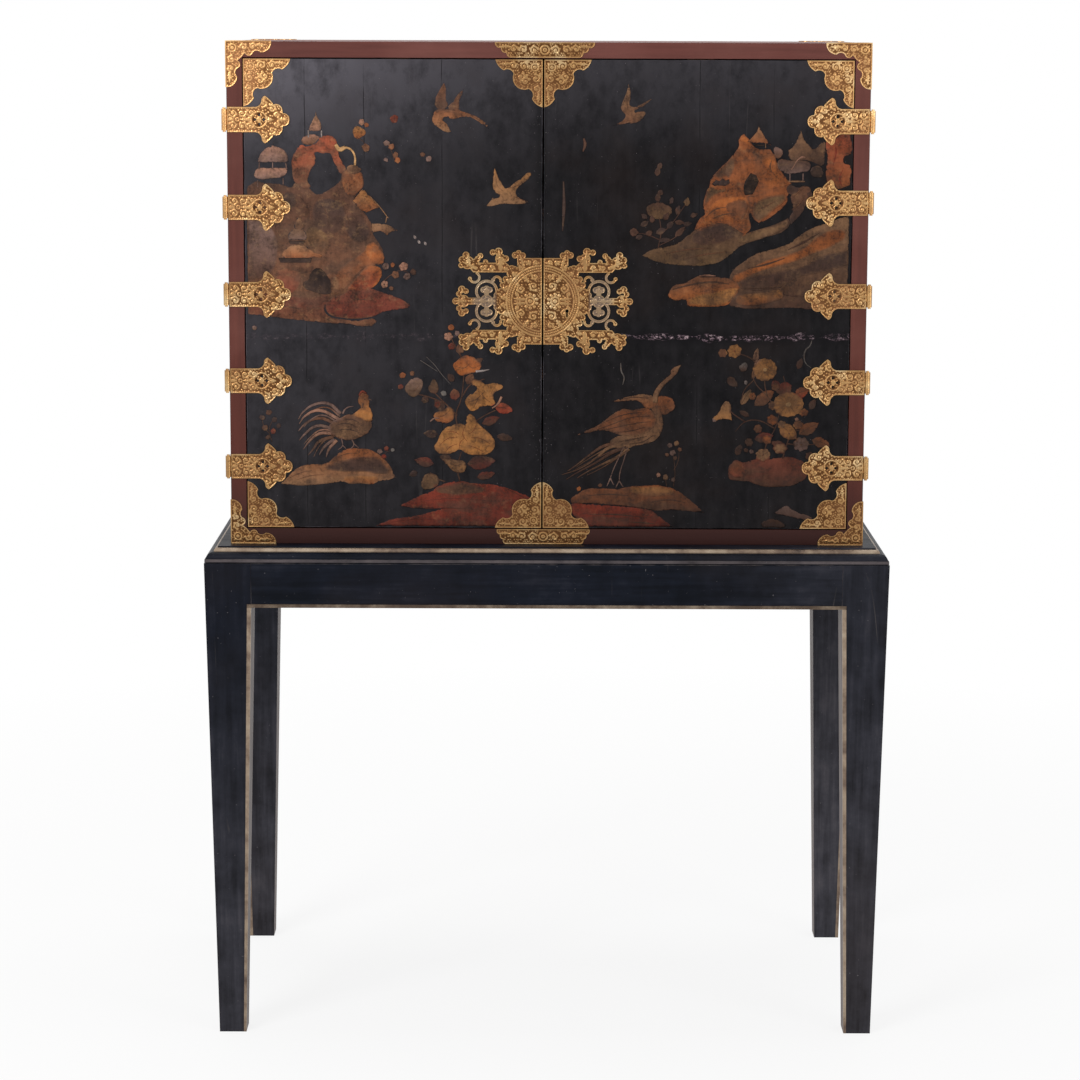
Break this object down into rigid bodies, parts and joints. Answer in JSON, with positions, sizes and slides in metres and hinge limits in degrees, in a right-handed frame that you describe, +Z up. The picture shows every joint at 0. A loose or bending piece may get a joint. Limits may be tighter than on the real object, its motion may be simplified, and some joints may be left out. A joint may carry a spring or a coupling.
{
  "type": "cabinet on stand",
  "caption": "Two-door lacquer cabinet with pierced brass mounts, strap hinges and a lock, standing on a frame with tapered legs.",
  "frame": {"origin": "on the floor, under the middle of the stand", "axes": "+X to the right seen from the front, +Y to the back, +Z up"},
  "size_m": [1.004, 0.573, 1.472],
  "materials": {
    "ebonised_wood": "ebonised and waxed, rubbed on the edges",
    "red_brown_lacquer": "old red-brown lacquer, satin",
    "black_lacquer": "worn black lacquer with gold and red japanned scenes",
    "inside_wood": "waxed plain wood",
    "worn_gilding": "rubbed gilding over gesso",
    "gilt_brass": "chased and gilt, dark in the hollows",
    "lock_iron": "filed and blackened iron"
  },
  "bodies": {
    "cabinet_and_stand": {"front_left_leg": "ebonised_wood", "front_right_leg": "ebonised_wood", "rear_left_leg": "ebonised_wood", "rear_right_leg": "ebonised_wood", "front_apron": "ebonised_wood", "rear_apron": "ebonised_wood", "left_apron": "ebonised_wood", "right_apron": "ebonised_wood", "front_moulding": "ebonised_wood", "rear_moulding": "ebonised_wood", "left_moulding": "ebonised_wood", "right_moulding": "ebonised_wood", "gilt_apron_beads": "worn_gilding", "gilt_leg_beads": "worn_gilding", "gilt_top_beads": "worn_gilding", "stand_top": "ebonised_wood", "glue_blocks": "inside_wood", "carcase_top": "red_brown_lacquer", "carcase_bottom": "red_brown_lacquer", "left_side": "red_brown_lacquer", "right_side": "red_brown_lacquer", "back_panel": "black_lacquer", "lower_shelf": "inside_wood", "upper_shelf": "inside_wood", "shelf_bearers": "inside_wood", "door_stops": "inside_wood", "carcase_corner_mounts": "gilt_brass", "upper_centre_mount": "gilt_brass", "lower_centre_mount": "gilt_brass", "left_hinge_leaves": "gilt_brass", "right_hinge_leaves": "gilt_brass", "left_hinge_pins": "gilt_brass", "right_hinge_pins": "gilt_brass", "carcase_nails": "gilt_brass"},
    "left_door": {"left_door": "black_lacquer", "left_strap_1": "gilt_brass", "left_strap_2": "gilt_brass", "left_strap_3": "gilt_brass", "left_strap_4": "gilt_brass", "left_strap_5": "gilt_brass", "left_door_mounts": "gilt_brass", "left_lock_plate": "gilt_brass", "left_door_nails": "gilt_brass", "lock_keeper": "lock_iron", "bolt_guides": "lock_iron"},
    "right_door": {"right_door": "black_lacquer", "right_strap_1": "gilt_brass", "right_strap_2": "gilt_brass", "right_strap_3": "gilt_brass", "right_strap_4": "gilt_brass", "right_strap_5": "gilt_brass", "right_door_mounts": "gilt_brass", "right_lock_plate": "gilt_brass", "right_door_nails": "gilt_brass", "lock_case": "lock_iron"},
    "lock_bolt": {"lock_bolt": "lock_iron"},
    "upper_bolt": {"upper_bolt": "lock_iron"},
    "lower_bolt": {"lower_bolt": "lock_iron"}
  },
  "joints": [
    {"name": "left_door_hinge", "type": "hinge", "parent": "cabinet_and_stand", "child": "left_door", "pos_m": [-0.46818, -0.24568, 1.105], "axis": [0, 0, -1], "range_deg": [0, 180]},
    {"name": "right_door_hinge", "type": "hinge", "parent": "cabinet_and_stand", "child": "right_door", "pos_m": [0.46818, -0.24568, 1.105], "axis": [0, 0, 1], "range_deg": [0, 180]},
    {"name": "lock_bolt_slide", "type": "slide", "parent": "right_door", "child": "lock_bolt", "axis": [-1, 0, 0], "range_m": [0, 0.012]},
    {"name": "upper_bolt_slide", "type": "slide", "parent": "left_door", "child": "upper_bolt", "axis": [0, 0, 1], "range_m": [0, 0.01]},
    {"name": "lower_bolt_slide", "type": "slide", "parent": "left_door", "child": "lower_bolt", "axis": [0, 0, -1], "range_m": [0, 0.01]}
  ]
}
